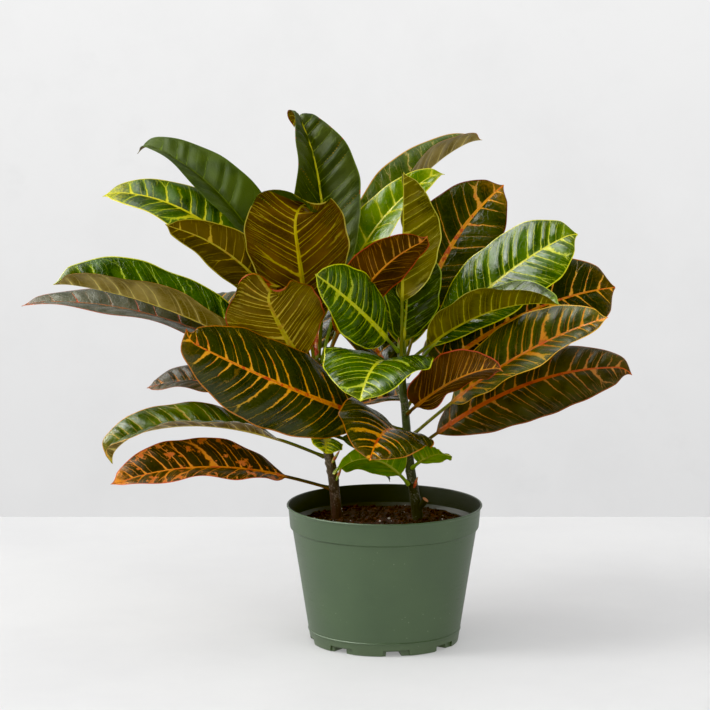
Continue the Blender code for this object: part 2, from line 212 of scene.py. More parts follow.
TOPS = {
    "orange": coat(
        "1c2403 2e3404 383907 e39a14 b08a1e b83214 e08e18 b06a1a 5f611a",
        0.95, 2.3, 0.86, 0.04, 0.14, 0.0, 0.1, 0.8, 0.06, 0.2,
    ),
    "golden": coat(
        "202603 424c08 5c620a e6921a c49a22 cc521c e28c1e dca828 7c7c24",
        1.15, 2.4, 1.0, 0.05, 0.3, 0.0, 0.1, 0.9, 0.14, 0.3,
    ),
    "sunset": coat(
        "1e2603 343c05 4a4806 d08c1c a0741c b83a16 e09a1c 6a200c 7c6a1c",
        0.8, 3.2, 0.92, 0.3, 0.1, 0.0, 0.3, 0.7, 0.1, 0.16,
    ),
    "ember": coat(
        "221f06 403c10 443a0e b0702a 865a24 a03a18 b8561c 8a4a1a 5f521a",
        0.85, 2.3, 0.92, 0.1, 0.6, 0.0, 0.1, 1.3, 0.08, 0.3,
    ),
    "splashed": coat(
        "252302 312b04 4c2e06 dc8a22 c8782a c4542a dc8a22 b4502a 46381a",
        1.0, 1.9, 1.2, 0.0, 0.5, 0.28, 0.7, 0.8, 0.1, 0.36,
    ),
    "yellow": coat(
        "1f3402 3a5a03 5d7a06 d2cc20 b0bc20 d6d034 ccc420 d6ce26 76862a",
        0.95, 2.1, 1.14, 0.0, 0.42, 0.02, 0.7, 1.1, 0.2, 0.36,
    ),
    "bright": coat(
        "274204 3f6206 5f7c0a c8cc28 b4c024 d0d03a d0ca1e d2d020 76862a",
        0.62, 1.8, 1.05, 0.08, 0.5, 0.0, 0.1, 1.3, 0.16, 0.13,
    ),
    "fresh": coat(
        "1e3602 375806 587808 bcc62a 9ab222 c8cc3a d0d024 ccd026 92a63a",
        0.85, 2.7, 0.98, 0.04, 0.5, 0.0, 0.15, 1.3, 0.2, 0.18,
    ),
    "lime": coat(
        "537703 789508 92a610 d8d62a c6c826 d8d62a dcd634 dcd63a 94a63a",
        1.1, 1.6, 1.2, 0.0, 0.3, 0.04, 0.3, 0.9, 0.3, 0.14,
    ),
    "plain": coat(
        "2a3a06 42520c 34440a 566a14 45580f 566a14 5a6a1c 45580f 56641f",
        0.4, 1.2, 1.0, 0.0, 0.3, 0.0, 0.0, 1.2, 0.14, 0.46,
    ),
    # Painted reflection: this top's grey ground and light stand in for the pale wall's sheen on the
    # blade. Its orange veins, midrib and margin are its own colours.
    "silvered": coat(
        "3e422c 64644c 5c5a40 a8542c 8a6a3c a83c1c a86a30 b05a34 5f611a",
        0.8, 1.6, 0.9, 0.45, 0.1, 0.0, 0.1, 0.8, 0.1, 0.22,
    ),
    "crown": coat(
        "28350a 414c12 303b08 6a7a1c 4a5a14 6a7a1c d4c81c 5a6a18 6a7024",
        0.4, 2.3, 1.0, 0.0, 0.6, 0.0, 0.0, 1.8, 0.12, 0.42,
    ),
    "dark": coat(
        "1e2c04 334408 46560b 86a82a 64762a 8c9c2c ccc028 9cb028 5f7024",
        0.45, 1.7, 1.1, 0.0, 0.6, 0.0, 0.7, 0.7, 0.1, 0.17,
    ),
    "pale": coat(
        "344808 566c18 6c7c20 c4a040 a09440 a2a844 bcae34 d09a30 5b6322",
        0.7, 1.5, 1.05, 0.05, 0.4, 0.0, 0.3, 1.2, 0.2, 0.16,
    ),
}
YOUNG_TOPS = ("yellow", "bright", "fresh", "lime", "plain", "crown", "pale", "dark")
UNDERS = {
    "amber": coat(
        "4a3101 744e03 7a5403 ceb314 b39d18 c09a18 cebc12 c8b440 94902a",
        0.6, 2.9, 1.0, 0.0, 0.7, 0.0, 0.0, 0.8, 0.42, 0.4,
    ),
    "olive": coat(
        "423400 634d01 674f02 c4a428 a8902a b0882a b9ac2a c0ae34 747824",
        0.55, 1.9, 1.1, 0.1, 0.4, 0.0, 0.0, 0.8, 0.3, 0.36,
    ),
    "moss": coat(
        "4c4502 766808 7c760a c4b62e aea030 a09a2c c4b92a c8c04a 848a2c",
        0.55, 2.1, 1.1, 0.05, 0.5, 0.0, 0.0, 0.8, 0.34, 0.34,
    ),
    "brown": coat(
        "664f14 8f7734 9a8640 e0c868 cdb85c d8b458 d4be4c d09a3c 60581f",
        0.75, 1.8, 1.05, 0.05, 0.5, 0.0, 0.0, 0.8, 0.22, 0.24,
    ),
    "tan": coat(
        "77641f a8924a b09c54 e0cc70 cdbb60 d8ba5c d4c250 c88a34 60581f",
        0.75, 1.8, 1.05, 0.05, 0.5, 0.0, 0.0, 0.8, 0.3, 0.24,
    ),
    "russet": coat(
        "543f06 7c620a 826610 ceb538 b5a12c b8902a c5b826 b4482c 8e8a2c",
        0.6, 2.8, 1.05, 0.0, 0.8, 0.0, 0.0, 0.8, 0.28, 0.36,
    ),
    "rust": coat(
        "361f04 54300a 5a360e c88e2a a46a24 c07028 cc8424 bc4a2c 704c1c",
        0.6, 1.9, 1.08, 0.0, 0.6, 0.0, 0.0, 0.6, 0.26, 0.38,
    ),
    "red": coat(
        "4a2602 6f3a03 7e3f05 b87020 94541a b84428 cc7424 bc442e 704c1c",
        0.55, 1.5, 1.05, 0.0, 0.6, 0.0, 0.0, 0.5, 0.2, 0.4,
    ),
    "lime": coat(
        "5e8a06 83a816 8fae1c b0bc44 9cb034 a8b444 b4b83e b4b848 94a63a",
        0.5, 1.5, 0.9, 0.0, 0.3, 0.0, 0.0, 0.6, 0.32, 0.34,
    ),
}


class Shader:
    """A node tree that nodes are added to."""

    def __init__(self, tree):
        self.tree = tree
        tree.nodes.clear()

    def add(self, kind, settings, sockets, output=0):
        """A node with its settings and then its sockets set, as one output's Value."""
        node = self.tree.nodes.new(kind)
        for name, setting in settings.items():
            setattr(node, name, setting)
        for name, value in sockets.items():
            if isinstance(value, Value):
                self.tree.links.new(value.socket, node.inputs[name])
            else:
                node.inputs[name].default_value = value
        return Value(self, node.outputs[output]) if node.outputs else None

    def mix(self, factor, first, second):
        return self.add("ShaderNodeMix", {"data_type": "RGBA"}, {0: factor, 6: first, 7: second}, 2)

    def parts(self, vector):
        """The three numbers of a vector or a colour."""
        split = self.add("ShaderNodeSeparateXYZ", {}, {0: vector})
        return [Value(self, socket) for socket in split.socket.node.outputs]

    def clouds(self, place, scale, detail=3.0, roughness=0.5):
        sockets = {"Vector": place, "Scale": scale, "Detail": detail, "Roughness": roughness}
        return self.add("ShaderNodeTexNoise", {}, sockets)

    def cells(self, place, scale, settings, output=0):
        sockets = {"Vector": place, "Scale": scale}
        return self.add("ShaderNodeTexVoronoi", settings, sockets, output)

    def stretched(self, place, scale):
        return self.add("ShaderNodeMapping", {}, {"Vector": place, "Scale": scale})

    def here(self):
        return self.add("ShaderNodeTexCoord", {}, {}, "Object")

    def bump(self, height, distance):
        return self.add("ShaderNodeBump", {}, {"Height": height, "Distance": distance})

    def principled(self, paint, roughness, normal, **others):
        sockets = {"Base Color": paint, "Roughness": roughness, "Normal": normal}
        sockets.update({name.replace("_", " "): value for name, value in others.items()})
        return self.add("ShaderNodeBsdfPrincipled", {}, sockets)

    def show(self, surface):
        self.add("ShaderNodeOutputMaterial", {}, {"Surface": surface})


class Value:
    """A shader socket in plain expressions: each operation adds the Math node that does it."""

    def __init__(self, shader, socket):
        self.shader = shader
        self.socket = socket

    def math(self, operation, *others):
        sockets = dict(enumerate((self, *others)))
        return self.shader.add("ShaderNodeMath", {"operation": operation}, sockets)

    def __add__(self, other):
        return self.math("ADD", other)

    def __mul__(self, other):
        return self.math("MULTIPLY", other)

    def __sub__(self, other):
        return self.math("SUBTRACT", other)

    def __rsub__(self, other):
        return self * -1.0 + other

    def __truediv__(self, other):
        return self.math("DIVIDE", other)

    def __pow__(self, power):
        return self.math("POWER", power)

    def __abs__(self):
        return self.math("ABSOLUTE")

    def over(self, limit):
        return self.math("GREATER_THAN", limit)

    __radd__ = __add__
    __rmul__ = __mul__


def sine(value):
    return value.math("SINE") if isinstance(value, Value) else np.sin(value)


def ramp(value, low, high):
    """0 up to low, 1 from high on, and a smooth rise between them."""
    if isinstance(value, Value):
        settings = {"interpolation_type": "SMOOTHSTEP"}
        sockets = {"Value": value, "From Min": low, "From Max": high}
        return value.shader.add("ShaderNodeMapRange", settings, sockets)
    part = np.clip((value - low) / (high - low), 0.0, 1.0)
    return part * part * (3.0 - 2.0 * part)


def vein_count(along, distance, side, pairs, length, seed):
    """Counts vein pairs from the blade's foot: a vein runs wherever the count is whole.

    Veins lean forward as they leave the midrib, and are a little uneven.
    """
    reach = along * length - 0.48 * distance - 0.008 * distance**2
    count = reach * pairs / length + 0.4 * side
    uneven = 0.19 * sine(2.1 * count + seed + 1.9 * side)
    return count + uneven + 0.09 * sine(5.3 * count + 1.7 * seed)


def new_shader(name):
    material = bpy.data.materials.new(name)
    material.use_nodes = True
    return material, Shader(material.node_tree)


Marks = namedtuple(
    "Marks",
    "along across distance slow patchy fine grit net dots "
    "line vein trace halo thin margin midrib rib_half",
)


def leaf_marks(shader, finish, under):
    """Where a face's veins and other marks lie.

    The blade attribute says how far along the blade a point is, and how many millimetres it is
    from the midrib and from the margin. The growth attribute is the same all over a leaf.
    """
    blade = shader.add("ShaderNodeAttribute", {"attribute_name": "blade"}, {}, "Vector")
    growth = shader.add("ShaderNodeAttribute", {"attribute_name": "growth"}, {}, "Vector")
    along, lateral, edge = shader.parts(blade)
    seed, pairs, length = shader.parts(growth)
    distance = abs(lateral)
    side = lateral.over(0.0)
    across = distance / (distance + edge + 0.01)
    sockets = {"X": along * length, "Y": lateral, "Z": seed * 37.0}
    place = shader.add("ShaderNodeCombineXYZ", {}, sockets)
    slow = shader.clouds(place, 0.045)
    patchy = shader.clouds(place, 0.12, 4.0, 0.6)
    fine = shader.clouds(place, 0.45)
    grit = shader.clouds(place, 1.5, 2.0)
    rough = (fine - 0.5) * (0.7 if under else 1.0) + (grit - 0.5) * (0.35 if under else 0.5)

    # Each vein has its own reach, fork and strength.
    count = vein_count(along, distance, side, pairs, length, seed)
    count = count + (patchy - 0.5) * (0.12 if under else 0.3)
    index = (count + 0.5).math("FLOOR")
    chance = {"W": index + seed * 17.3 + side * 7.7}
    luck = shader.add("ShaderNodeTexWhiteNoise", {"noise_dimensions": "1D"}, chance, "Color")
    luck_reach, luck_fork, luck_strength = shader.parts(luck)
    spacing = length / pairs
    offset = abs(count - index) * spacing
    spread = ramp(across, luck_fork * 0.4 + 0.4, 1.3) * luck_strength.over(0.35) * 0.42
    from_line = abs(offset - spread * spacing) + rough
    flare = (1.0 - ramp(distance, 1.0, 5.0)) * 0.8
    half = (1.0 - 0.55 * across + flare) * finish.width
    line = 1.0 - ramp(from_line, half * 0.5, half * 1.2)
    last = finish.reach - 0.4 * luck_reach
    vein = line * (1.0 - ramp(across + 0.2 * (fine - 0.5), last - 0.06, last + 0.08))
    if finish.gaps:
        vein = vein * (luck_fork * 0.6 + luck_strength * 0.4).over(finish.gaps)
    trace = 1.0 - ramp(from_line, 0.15, 0.6)
    halo = (1.0 - ramp(from_line, half, half + 3.2)) * (1.0 - ramp(across, last - 0.2, last + 0.1))

    # Thin veins run between the pairs, and three to a pair near the margin.
    between = abs(abs(count - index) - 0.5) * spacing + rough * 0.6
    thin_last = 0.75 - 0.6 * luck_fork + (0.3 if under else 0.0)
    thin = (1.0 - ramp(between, 0.1, 0.5)) * (1.0 - ramp(across, thin_last, thin_last + 0.15))
    comb = abs(count * 3.0 - (count * 3.0 + 0.5).math("FLOOR")) * spacing / 3.0 + rough * 0.4
    comb = (1.0 - ramp(comb, 0.1, 0.4)) * ramp(across, 0.5, 0.75) * (1.0 - ramp(across, 0.85, 0.97))
    thin = (thin + comb * 0.8) * finish.fine

    rib_half = (1.0 - 0.8 * along) * finish.rib
    midrib = 1.0 - ramp(distance + rough * 0.35, rib_half * 0.75, rib_half * 1.1)
    margin = 1.0 - ramp(edge + rough * 0.8, 0.55, 1.15)
    net = shader.cells(place, 0.3, {"feature": "DISTANCE_TO_EDGE"})
    net = 1.0 - ramp(net, 0.015, 0.09)
    dots = 1.0 - ramp(shader.cells(place, 0.28, {}), 0.05, 0.11)
    dots = dots * ramp(patchy, 0.5, 0.56) * (0.2 if under else 0.6)
    return Marks(
        along, across, distance, slow, patchy, fine, grit, net, dots,
        line, vein, trace, halo, thin, margin, midrib, rib_half,
    )


def leaf_paint(shader, finish, marks):
    """The blade's ground, then its veins, blotches and margin, its midrib, and its petiole."""
    shade = {field: colour(getattr(finish, field)) for field in Finish._fields[:9]}
    paint = shader.mix(ramp(marks.slow, 0.35, 0.68), shade["ground"], shade["light"])
    paint = shader.mix(marks.halo * 0.6, paint, shade["halo"])
    paint = shader.mix(marks.net * 0.25, paint, shade["halo"])
    vein_paint = shader.mix(ramp(marks.across, 0.2, 0.9), shade["vein"], shade["vein_end"])
    vein_paint = shader.mix(ramp(marks.patchy, 0.55, 0.64) * 0.6, vein_paint, shade["streak"])
    paint = shader.mix(marks.trace * 0.3, paint, shade["vein_end"])
    paint = shader.mix(marks.thin, paint, vein_paint)
    if finish.patches:
        limit = 0.78 - 0.5 * finish.patches
        flood = marks.patchy + 0.1 * marks.line + 0.12 * marks.across - 0.1 * marks.thin
        paint = shader.mix(ramp(flood, limit, limit + 0.03) * 0.9, paint, vein_paint)
    if finish.flush:
        tip = ramp(marks.along + 0.2 * (marks.fine - 0.5), 0.86, 1.0) * finish.flush
        paint = shader.mix(tip, paint, shade["vein"])
    paint = shader.mix(marks.vein, paint, vein_paint)
    paint = shader.mix(marks.dots, paint, shade["vein_end"])
    paint = shader.mix(marks.margin * 0.95, paint, shade["margin"])
    rib_paint = shader.mix(ramp(marks.patchy, 0.52, 0.58) * 0.8, shade["midrib"], shade["streak"])
    rib_edge = 1.0 - ramp(marks.distance, marks.rib_half * 0.3, marks.rib_half * 0.8)
    rib_paint = shader.mix(rib_edge * 0.3, rib_paint, shade["streak"])
    paint = shader.mix(marks.midrib, paint, rib_paint)
    stalk_paint = shader.mix(ramp(marks.slow, 0.4, 0.6) * 0.4, shade["stalk"], shade["light"])
    return shader.mix(ramp(marks.along, -0.03, 0.06), stalk_paint, paint)


def leaf_material(name, finish, under):
    """A leaf's face: waxy with sunken veins on top, duller with raised ones underneath."""
    material, shader = new_shader(name)
    marks = leaf_marks(shader, finish, under)
    paint = leaf_paint(shader, finish, marks)
    groove = marks.line * (1.0 - ramp(marks.across, 0.7, 1.1))
    if under:
        relief = 0.55 * groove + 0.3 * marks.thin + 0.12 * marks.net + 0.1 * marks.fine
        dullness = finish.satin + 0.16 * marks.fine
        wax = 0.22
    else:
        relief = 0.12 * marks.fine + 0.06 * marks.grit - 0.4 * groove - 0.2 * marks.thin
        relief = relief - 0.1 * marks.net
        dullness = finish.satin + 0.12 * ramp(marks.patchy, 0.3, 0.7) + 0.07 * marks.vein
        wax = 0.65 - finish.satin
    normal = shader.bump(relief, 0.6 * MM)
    face = shader.principled(paint, dullness, normal, IOR=1.45, Specular_IOR_Level=wax)
    through = shader.add("ShaderNodeBsdfTranslucent", {}, {"Color": paint})
    shader.show(shader.add("ShaderNodeMixShader", {}, {0: finish.glow, 1: face, 2: through}))
    return material


def mesh_of(name, shape):
    mesh = bpy.data.meshes.new(name)
    shape.to_mesh(mesh)
    shape.free()
    return mesh


def placed(name, data):
    """A new object in the scene."""
    item = bpy.data.objects.new(name, data)
    bpy.context.scene.collection.objects.link(item)
    return item


def ride(piece, replaced=None):
    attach(piece, BODY)
    if replaced:
        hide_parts(replaced)


def smooth_piece(name, mesh, materials, replaced=None):
    """A smooth piece on the plant's body."""
    for material in materials:
        mesh.materials.append(material)
    mesh.shade_smooth()
    piece = placed(name, mesh)
    ride(piece, replaced)
    return piece


def new_piece(name, vertices, faces, materials, slot, replaced=None):
    """A smooth piece from its points, in metres, and its faces."""
    mesh = bpy.data.meshes.new(name)
    mesh.from_pydata(vertices, [], faces)
    return smooth_piece(name, mesh, materials, replaced)


def stem_at(stem, height):
    """The stem's centre, radius and sideways lean at a height."""
    points = np.array(STEMS[stem])
    step = 0.01
    here, below = [
        np.array([np.interp(level, points[:, 2], points[:, column]) for column in range(4)])
        for level in (height, height - step)
    ]
    return here[:3], here[3], (here[:3] - below[:3]) / step


def half_width(leaf, blade):
    """Half the blade's width at a fraction of its length, with a narrow drip tip."""
    rising, falling = 1.4 * leaf.widest, 1.4 * (1.0 - leaf.widest)
    peak = leaf.widest**rising * (1.0 - leaf.widest) ** falling
    outline = blade**rising * (1.0 - blade) ** falling / peak
    return 0.5 * leaf.width * outline * (0.3 + 0.7 * ramp(1.0 - blade, 0.0, 0.06))


def triple(x, y, z):
    return np.stack(np.broadcast_arrays(x, y, z), axis=-1)


def spine(leaf, across):
    """Place, side and normal all along the leaf, for each column across it, in millimetres."""
    centre, radius, lean = stem_at(leaf.name.split("_")[0], leaf.height)
    total = leaf.petiole + leaf.blade
    heading, rise = math.radians(leaf.heading), math.radians(leaf.rise)
    outward = np.array([math.cos(heading), math.sin(heading), 0.0])
    overhang = abs(math.sin(rise)) + abs(math.cos(rise) * lean.dot(outward))
    foot = centre + outward * (radius + GAP + STALK * overhang)
    part = np.linspace(0.0, 1.0, SPINE_STEPS + 1)[:, None]
    blade = np.clip((part * total - leaf.petiole) / leaf.blade, 0.0, 1.0)
    start = HOOK_START + LOBE * np.abs(across)[None, :]
    bend = leaf.hook * ramp(blade, start, 1.0) + leaf.curl * ramp(blade, 0.9, 1.0)
    slope = np.radians(leaf.rise - leaf.droop * part**1.5 - bend)
    turn = np.radians(leaf.heading + leaf.sweep * part)
    along = triple(np.cos(turn) * np.cos(slope), np.sin(turn) * np.cos(slope), np.sin(slope))
    level = triple(np.sin(turn), -np.cos(turn), 0.0 * turn)
    upper = np.cross(level, along)
    roll = np.radians(leaf.roll * ramp(part * total, 0.0, leaf.petiole) + leaf.twist * blade)
    side = np.cos(roll)[..., None] * level + np.sin(roll)[..., None] * upper
    steps = 0.5 * (along[1:] + along[:-1]) * total / SPINE_STEPS
    place = foot + np.concatenate([np.zeros_like(along[:1]), np.cumsum(steps, axis=0)])
    return place, side, np.cross(side, along), along


def leaf_rows(leaf):
    """The spine steps that get a row of points, closer together in the petiole and at the tip."""
    total = leaf.petiole + leaf.blade
    petiole = np.linspace(0.0, leaf.petiole / total, PETIOLE_ROWS, endpoint=False)
    even = np.linspace(0.0, 1.0, BLADE_ROWS)
    blade = (leaf.petiole + leaf.blade * (1.0 - (1.0 - even) ** 1.15)) / total
    return np.unique(np.round(np.concatenate([petiole, blade]) * SPINE_STEPS).astype(int))


def leaf_faces(rows, columns):
    """Faces of the top, then of the underside, which shares its margins, and of both ends.

    Also gives how many of them are on top.
    """
    top_index = np.arange(rows * columns).reshape(rows, columns)
    low_index = top_index.copy()
    inner = np.arange(rows * (columns - 2)).reshape(rows, columns - 2)
    low_index[:, 1:-1] = rows * columns + inner
    upper, lower = quads(top_index), quads(low_index[:, ::-1])
    foot = [*top_index[0], *low_index[0, -2:0:-1]]
    tip = [*top_index[-1], *low_index[-1, -2:0:-1]]
    ends = [[int(i) for i in foot], [int(i) for i in reversed(tip)]]
    return [*upper, *lower, *ends], len(upper)


def blade_lift(leaf, seed, blade, x, half, outer):
    """How far the blade's face stands off a flat sheet: quilted, arched and wavy at the edge."""
    sign = (x > 0.0) * 1.0
    distance = np.abs(x)
    opening = ramp(blade, 0.0, 0.15)
    count = vein_count(blade, distance, sign, leaf.pairs, leaf.blade, seed)
    puff = (0.5 - 0.5 * np.cos(2.0 * np.pi * count)) * ramp(distance, 1.0, 6.0)
    puff = puff * (1.0 - ramp(outer, 0.75, 1.0))
    lift = TOPS[leaf.top].quilt * puff * opening * (1.0 - ramp(blade, 0.9, 1.0))
    lift = lift + ARCH * np.sin(np.pi * outer) * opening * half / BROAD
    lift = lift - TURN_DOWN * outer**4 * opening * half / BROAD
    ripple = np.sin(2.0 * np.pi * (2.4 + 0.3 * sign) * blade + seed * 2.1 + 2.4 * sign)
    return lift + WAVE * outer**2 * ripple * ramp(blade, 0.05, 0.35) * half / BROAD


def make_leaf(number, leaf):
    """One closed piece: a round petiole that flattens into a blade with a rib underneath."""
    seed = 1.0 + 0.61 * number
    even = np.linspace(-1.0, 1.0, COLUMNS)
    across = np.sign(even) * np.abs(even) ** 1.25
    outer = np.abs(across)[None, :]
    rows = leaf_rows(leaf)
    place, side, normal, ahead = [grid[rows] for grid in spine(leaf, across)]
    total = leaf.petiole + leaf.blade
    along = (rows * total / SPINE_STEPS - leaf.petiole)[:, None] / leaf.blade
    from_blade = along * leaf.blade
    blade = np.clip(along, 0.0, BLADE_END)

    swell = 1.0 - ramp(from_blade, -leaf.petiole, SOCKET - leaf.petiole)
    stalk = STALK * (1.0 - 0.85 * blade) * (1.0 + 0.45 * swell)
    ragged = 1.0 + 0.022 * np.sin(15.0 * blade + 3.0 * seed) + 0.012 * np.sin(37.0 * blade + seed)
    half = np.maximum(half_width(leaf, blade) * ragged, stalk * (1.0 - 0.9 * blade))
    x = across[None, :] * half
    lift = blade_lift(leaf, seed, blade, x, half, outer)

    # The petiole's round section gives way to a thin sheet that keeps some of it as the rib.
    round_off = np.sqrt(np.clip(stalk**2 - x**2, 0.0, None))
    sheet = 0.5 * BLADE_THICKNESS * np.sqrt(np.clip(1.0 - outer**6, 0.0, 1.0)) * (1.0 - 0.6 * blade)
    flat = ramp(from_blade, -1.0, 9.0)
    above = round_off * (1.0 - flat) + (sheet + 0.22 * round_off) * flat
    below = round_off * (1.0 - flat) + (sheet + 0.95 * round_off) * flat

    fold = math.radians(leaf.fold) * ramp(blade, 0.0, 0.15)
    soft = np.sqrt(x**2 + 4.0)
    bend = (soft - 2.0)[..., None] * normal * np.sin(fold)[..., None]
    middle = place + side * (x * np.cos(fold))[..., None] + bend
    lean = fold * x / soft
    face = normal * np.cos(lean)[..., None] - side * np.sin(lean)[..., None]
    upper = (middle + face * (lift + above)[..., None]) * MM
    lower = (middle + face * (lift - below)[..., None]) * MM
    for grid in (upper, lower):
        grid[0] -= ahead[0] * 1.2 * MM

    faces, on_top = leaf_faces(*x.shape)
    vertices = np.concatenate([upper.reshape(-1, 3), lower[:, 1:-1].reshape(-1, 3)])
    piece = new_piece(
        leaf.name.replace("leaf", "blade"),
        vertices.tolist(),
        faces,
        [TOP_MATERIALS[leaf.top], UNDER_MATERIALS[leaf.under]],
        "young_leaf" if leaf.top in YOUNG_TOPS else "mature_leaf",
        leaf.name,
    )
    mesh = piece.data
    index = np.zeros(len(faces), dtype=np.int32)
    index[on_top:] = 1
    mesh.polygons.foreach_set("material_index", index)
    measures = triple(along + 0.0 * x, x, half - np.abs(x))
    measures = np.concatenate([measures.reshape(-1, 3), measures[:, 1:-1].reshape(-1, 3)])
    write_vectors(mesh, "blade", measures)
    write_vectors(mesh, "growth", np.tile([seed, leaf.pairs, leaf.blade], (len(vertices), 1)))
    mesh.set_sharp_from_angle(angle=math.radians(60.0))


def quads(index):
    """Four-sided faces between neighbouring rows and columns of point numbers."""
    corners = [index[:-1, :-1], index[:-1, 1:], index[1:, 1:], index[1:, :-1]]
    return np.stack(corners, axis=-1).reshape(-1, 4).tolist()


def closed_rings(index):
    """The point numbers of rings, with each ring's first point again at its end."""
    return np.concatenate([index, index[:, :1]], axis=1)


def tube_faces(rows, sides):
    """Faces of a tube of rings, then of its foot and of its top."""
    index = closed_rings(np.arange(rows * sides).reshape(rows, sides))
    ends = [index[0, -2::-1], index[-1, :-1]]
    return quads(index) + [[int(i) for i in end] for end in ends]


def write_vectors(mesh, name, values):
    made = mesh.attributes.new(name, "FLOAT_VECTOR", "POINT")
    made.data.foreach_set("vector", np.asarray(values, dtype=np.float32).ravel())


def pot_material():
    """Sage green plastic: satin, faintly mottled, scuffed and dusty, with painted shade darkening the
    wall's inner face.
    """
    material, shader = new_shader("pot_plastic")
    place = shader.here()
    slow = shader.clouds(place, 22.0)
    grain = shader.clouds(place, 900.0, 2.0)
    scuffs = shader.clouds(shader.stretched(place, (60.0, 60.0, 900.0)), 1.0, 4.0, 0.6)
    streaks = shader.clouds(shader.stretched(place, (240.0, 240.0, 12.0)), 1.0, 3.0)
    dust = (1.0 - ramp(shader.cells(place, 210.0, {}), 0.05, 0.11)) * ramp(slow, 0.5, 0.62)
    east, north, height = shader.parts(place)
    radius = (east**2.0 + north**2.0) ** 0.5
    # The mask for painted shade: the wall's inner face, from a little below the soil up to the rim.
    wall = 0.0027 * ramp(height, 0.0912, 0.0925) + 0.085 * (height - 0.092) + 0.0706
    painted_shade_inside = ramp(wall - radius, -0.0001, 0.0001) * ramp(height, 0.086, 0.087)
    paint = shader.mix(ramp(slow, 0.3, 0.7), colour("354b2d"), colour("3b5131"))
    paint = shader.mix(ramp(streaks, 0.45, 0.8) * 0.12, paint, colour("34492f"))
    paint = shader.mix(ramp(scuffs, 0.62, 0.78) * 0.16, paint, colour("667c5c"))
    paint = shader.mix(dust * 0.35, paint, colour("9aa88a"))
    paint = shader.mix((1.0 - ramp(height + 0.01 * slow, 0.006, 0.02)) * 0.25, paint, colour("5a6648"))
    # Painted shade: the inner face of the wall is darkened almost to black.
    paint = shader.mix(painted_shade_inside * 0.9, paint, colour("1e2014"))
    roughness = 0.4 + 0.12 * slow + 0.1 * ramp(scuffs, 0.55, 0.7)
    normal = shader.bump(grain + 0.6 * scuffs + 0.3 * streaks, 0.07 * MM)
    shader.show(shader.principled(paint, roughness, normal, IOR=1.62))
    return material


def soil_material():
    """Moist red-brown peat with painted shade in its hollows, and flecked with paler fibre."""
    material, shader = new_shader("potting_soil")
    place = shader.here()
    slow = shader.clouds(place, 90.0)
    fine = shader.clouds(place, 520.0, 5.0, 0.7)
    luck = shader.parts(shader.cells(place, 340.0, {}, "Color"))[0]
    # Painted shade: the same noise raises the bump, so the peat is darkest where its surface dips.
    paint = shader.mix(ramp(fine, 0.35, 0.65), colour("160804"), colour("3a1a0e"))
    paint = shader.mix(ramp(luck, 0.8, 0.9) * 0.7, paint, colour("5c341c"))
    paint = shader.mix(ramp(slow, 0.55, 0.7) * 0.5, paint, colour("1e0c06"))
    normal = shader.bump(fine + 0.6 * luck, 0.7 * MM)
    shader.show(shader.principled(paint, 0.8 + 0.15 * fine, normal, Specular_IOR_Level=0.3))
    return material


def perlite_material():
    """White puffed grains with small pits, greyer and browner where the surface dips."""
    material, shader = new_shader("perlite")
    fine = shader.clouds(shader.here(), 900.0, 4.0, 0.6)
    paint = shader.mix(ramp(fine, 0.42, 0.6), colour("8a7c6c"), colour("d8d2c6"))
    normal = shader.bump(fine, 0.4 * MM)
    shader.show(shader.principled(paint, 0.8 + 0.1 * fine, normal))
    return material


def bark_material(name, foot, crown, scar):
    """Thin bark with long ridges and pale corky flecks, greener towards the top."""
    material, shader = new_shader(name)
    place = shader.here()
    level = shader.parts(place)[2]
    ridges = shader.clouds(shader.stretched(place, (420.0, 420.0, 90.0)), 1.0, 4.0, 0.6)
    fine = shader.clouds(place, 700.0, 3.0)
    slow = shader.clouds(place, 60.0)
    paint = shader.mix(ramp(level + 0.05 * slow, 0.12, 0.23), colour(foot), colour(crown))
    paint = shader.mix(ramp(ridges, 0.45, 0.7) * 0.6, paint, colour("171006"))
    paint = shader.mix(ramp(fine * slow, 0.3, 0.36) * 0.7, paint, colour(scar))
    normal = shader.bump(ridges + 0.3 * fine, 0.5 * MM)
    shader.show(shader.principled(paint, 0.5 + 0.25 * ridges, normal, Specular_IOR_Level=0.4))
    return material


def bud_material():
    """Young shoots: soft green, pink to red in places."""
    material, shader = new_shader("bud")
    place = shader.here()
    slow = shader.clouds(place, 160.0)
    fine = shader.clouds(place, 600.0)
    paint = shader.mix(ramp(slow, 0.42, 0.58), colour("8fa03c"), colour("b8462c"))
    normal = shader.bump(fine, 0.2 * MM)
    shader.show(shader.principled(paint, 0.36 + 0.14 * slow, normal))
    return material


def wood_material():
    """The pale orange-brown face of a pruned shoot, with rings."""
    material, shader = new_shader("cut_wood")
    fine = shader.clouds(shader.here(), 500.0, 3.0)
    paint = shader.mix(fine, colour("8a4a20"), colour("c9803c"))
    normal = shader.bump(fine, 0.3 * MM)
    shader.show(shader.principled(paint, 0.65 + 0.1 * fine, normal))
    return material


def apply_modifiers(item):
    """The object's own mesh with its modifiers made part of it."""
    graph = bpy.context.evaluated_depsgraph_get()
    mesh = bpy.data.meshes.new_from_object(item.evaluated_get(graph))
    item.modifiers.clear()
    item.data = mesh


def arc(centre, radius, start, end, steps=6):
    """Points of a round corner as (radius, height), from one angle to another in degrees."""
    angles = np.radians(np.linspace(start, end, steps))
    return [(centre[0] + radius * math.cos(a), centre[1] + radius * math.sin(a)) for a in angles]


def pot_radius(height):
    top = RIM_RADIUS - COLLAR_STEP
    return BASE_RADIUS + (top - BASE_RADIUS) * height / COLLAR_FOOT


